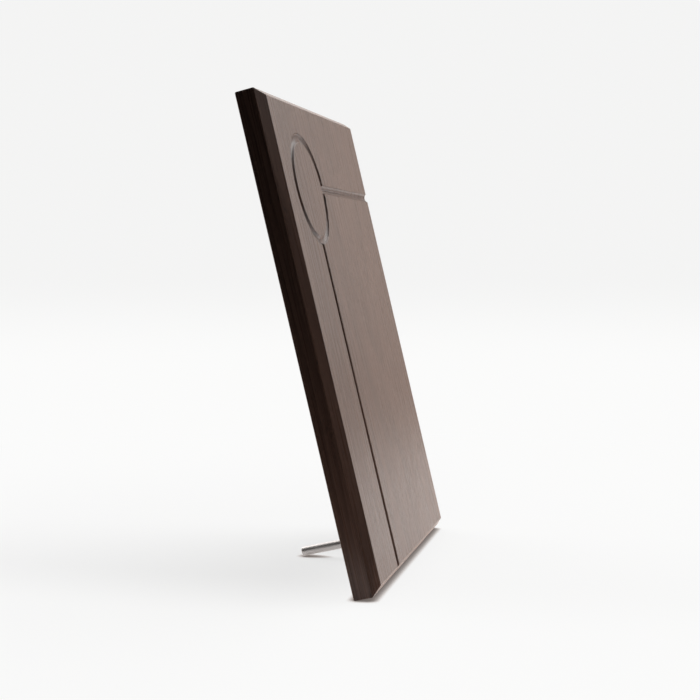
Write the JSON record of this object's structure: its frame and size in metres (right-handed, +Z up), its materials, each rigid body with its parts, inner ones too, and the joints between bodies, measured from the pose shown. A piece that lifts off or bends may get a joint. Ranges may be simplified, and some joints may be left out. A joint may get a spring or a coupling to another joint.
{
  "type": "digital photo frame",
  "caption": "Slim leaning slab of dark walnut with an engraved ring and two grooves, a hidden screen behind thin wood, a recessed back cover and a steel peg stand.",
  "frame": {"origin": "centre of the footprint on the surface that it stands on, midway between the front-most and rear-most points", "axes": "+Z up, the front faces -Y and leans back towards +Y, +X to the right when seen from the front"},
  "size_m": [0.192, 0.0708, 0.2452],
  "materials": {
    "walnut": "satin oiled, dark walnut, grain along the height",
    "cover_plastic": "fine moulded texture, charcoal",
    "dark_steel": "black oxide",
    "brass": "turned",
    "clear_window": "clear acrylic sheet",
    "screen_glass": "dark polished screen glass",
    "light_guide": "milky acrylic",
    "lamp_strip": "white circuit strip with yellow lamps",
    "sheet_steel": "pressed thin sheet",
    "bracket_aluminium": "bead blasted",
    "zinc_steel": "zinc plated",
    "flex_film": "amber polyimide film",
    "circuit_board": "green solder mask",
    "chip_resin": "moulded epoxy",
    "ferrite": "ferrite grey",
    "ivory_plastic": "natural nylon",
    "black_wire": "black wire sheath",
    "red_wire": "red wire sheath",
    "battery_foil": "laminated foil pouch",
    "foam": "closed-cell foam",
    "inlet_steel": "plated shell",
    "black_plastic": "moulded black",
    "button_plastic": "satin moulded charcoal",
    "magnet": "nickel plated",
    "cone_rubber": "soft matt rubber",
    "grille_metal": "perforated sheet, black paint",
    "touch_board": "blue solder mask",
    "socket_steel": "turned sleeve",
    "peg_steel": "drawn rod, satin"
  },
  "bodies": {
    "frame": {"wood_body": "walnut", "back_cover": "cover_plastic", "cover_screws": "dark_steel", "cover_inserts": "brass", "cover_post": "brass", "display_window": "clear_window", "lcd_glass": "screen_glass", "light_guide": "light_guide", "led_bar": "lamp_strip", "panel_frame": "sheet_steel", "display_bracket": "bracket_aluminium", "bracket_screws": "zinc_steel", "display_cable": "flex_film", "main_board": "circuit_board", "board_standoffs": "brass", "board_screws": "zinc_steel", "processor": "chip_resin", "memory_chips": "chip_resin", "wifi_module": "sheet_steel", "power_coils": "ferrite", "board_connectors": "ivory_plastic", "wifi_antenna": "flex_film", "antenna_lead": "black_wire", "battery": "battery_foil", "battery_pad": "foam", "battery_lead": "red_wire", "battery_plug": "ivory_plastic", "port_board": "circuit_board", "port_board_screws": "zinc_steel", "usb_socket": "inlet_steel", "usb_tongue": "black_plastic", "port_cable": "flex_film", "button_switches": "black_plastic", "speaker_frame": "black_plastic", "speaker_magnet": "magnet", "speaker_cone": "cone_rubber", "speaker_gasket": "foam", "speaker_grille": "grille_metal", "speaker_lead": "black_wire", "touch_board": "touch_board", "touch_cable": "flex_film", "peg_socket": "socket_steel", "peg_magnet": "magnet"},
    "stand_peg": {"stand_peg": "peg_steel"},
    "power_button": {"power_button": "button_plastic", "power_plunger": "ivory_plastic"},
    "pair_button": {"pair_button": "button_plastic", "pair_plunger": "ivory_plastic"}
  },
  "joints": [
    {"name": "peg_slide", "type": "slide", "parent": "frame", "child": "stand_peg", "axis": [0, 0.9724, -0.2334], "range_m": [0, 0.009]},
    {"name": "power_press", "type": "slide", "parent": "frame", "child": "power_button", "axis": [0, -0.9724, 0.2334], "range_m": [0, 0.0005], "stiffness_N_per_m": 1200, "springref_m": -0.0005},
    {"name": "pair_press", "type": "slide", "parent": "frame", "child": "pair_button", "axis": [0, -0.9724, 0.2334], "range_m": [0, 0.0005], "stiffness_N_per_m": 1200, "springref_m": -0.0005}
  ]
}
